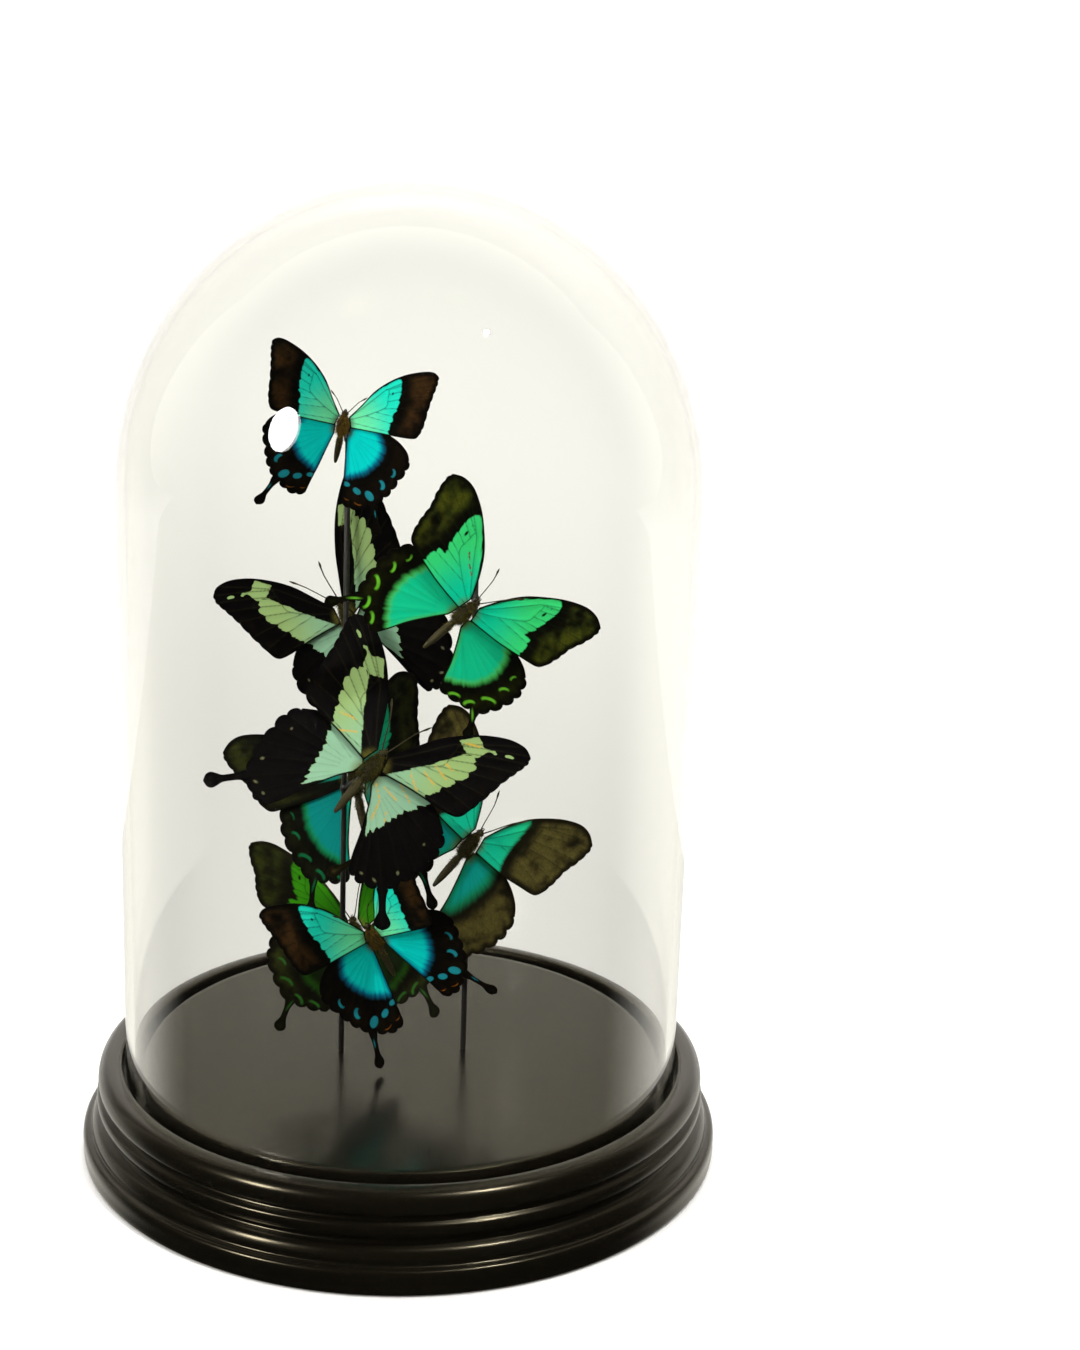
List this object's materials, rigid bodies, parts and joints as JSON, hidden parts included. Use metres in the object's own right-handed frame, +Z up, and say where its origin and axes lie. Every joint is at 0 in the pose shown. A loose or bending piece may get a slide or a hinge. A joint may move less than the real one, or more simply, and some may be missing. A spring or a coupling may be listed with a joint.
{
  "type": "mounted butterflies in a glass dome",
  "caption": "Glass dome on a turned black round base, with tailed butterflies mounted on thin upright rods inside.",
  "frame": {"origin": "middle of the base's underside", "axes": "+Z up through the top of the dome, -Y towards the front, from which the butterflies are seen"},
  "size_m": [0.2072, 0.208, 0.3094],
  "materials": {
    "black_wood": "satin black lacquer",
    "clear_glass": "clear blown glass",
    "black_rod": "satin black",
    "insect_body": "dark brown fur",
    "turquoise_wing": "iridescent scales with dark margins",
    "green_wing": "iridescent scales with dark brown margins",
    "banded_wing": "matt black scales with a pale green band",
    "olive_wing": "matt dark olive scales with a green band"
  },
  "bodies": {
    "root": {"wooden_base": "black_wood", "glass_dome": "clear_glass", "left_stem": "black_rod", "right_stem": "black_rod", "top_turquoise_body": "insect_body", "top_turquoise_left_forewing": "turquoise_wing", "top_turquoise_left_hindwing": "turquoise_wing", "top_turquoise_right_forewing": "turquoise_wing", "top_turquoise_right_hindwing": "turquoise_wing", "right_green_body": "insect_body", "right_green_left_forewing": "green_wing", "right_green_left_hindwing": "green_wing", "right_green_right_forewing": "green_wing", "right_green_right_hindwing": "green_wing", "left_banded_body": "insect_body", "left_banded_left_forewing": "banded_wing", "left_banded_left_hindwing": "banded_wing", "left_banded_right_forewing": "banded_wing", "left_banded_right_hindwing": "banded_wing", "centre_banded_body": "insect_body", "centre_banded_left_forewing": "banded_wing", "centre_banded_left_hindwing": "banded_wing", "centre_banded_right_forewing": "banded_wing", "centre_banded_right_hindwing": "banded_wing", "middle_teal_body": "insect_body", "middle_teal_left_forewing": "green_wing", "middle_teal_left_hindwing": "green_wing", "middle_teal_right_forewing": "green_wing", "middle_teal_right_hindwing": "green_wing", "lower_right_green_body": "insect_body", "lower_right_green_left_forewing": "green_wing", "lower_right_green_left_hindwing": "green_wing", "lower_right_green_right_forewing": "green_wing", "lower_right_green_right_hindwing": "green_wing", "front_turquoise_body": "insect_body", "front_turquoise_left_forewing": "turquoise_wing", "front_turquoise_left_hindwing": "turquoise_wing", "front_turquoise_right_forewing": "turquoise_wing", "front_turquoise_right_hindwing": "turquoise_wing", "lower_left_olive_body": "insect_body", "lower_left_olive_left_forewing": "olive_wing", "lower_left_olive_left_hindwing": "olive_wing", "lower_left_olive_right_forewing": "olive_wing", "lower_left_olive_right_hindwing": "olive_wing"}
  },
  "joints": []
}
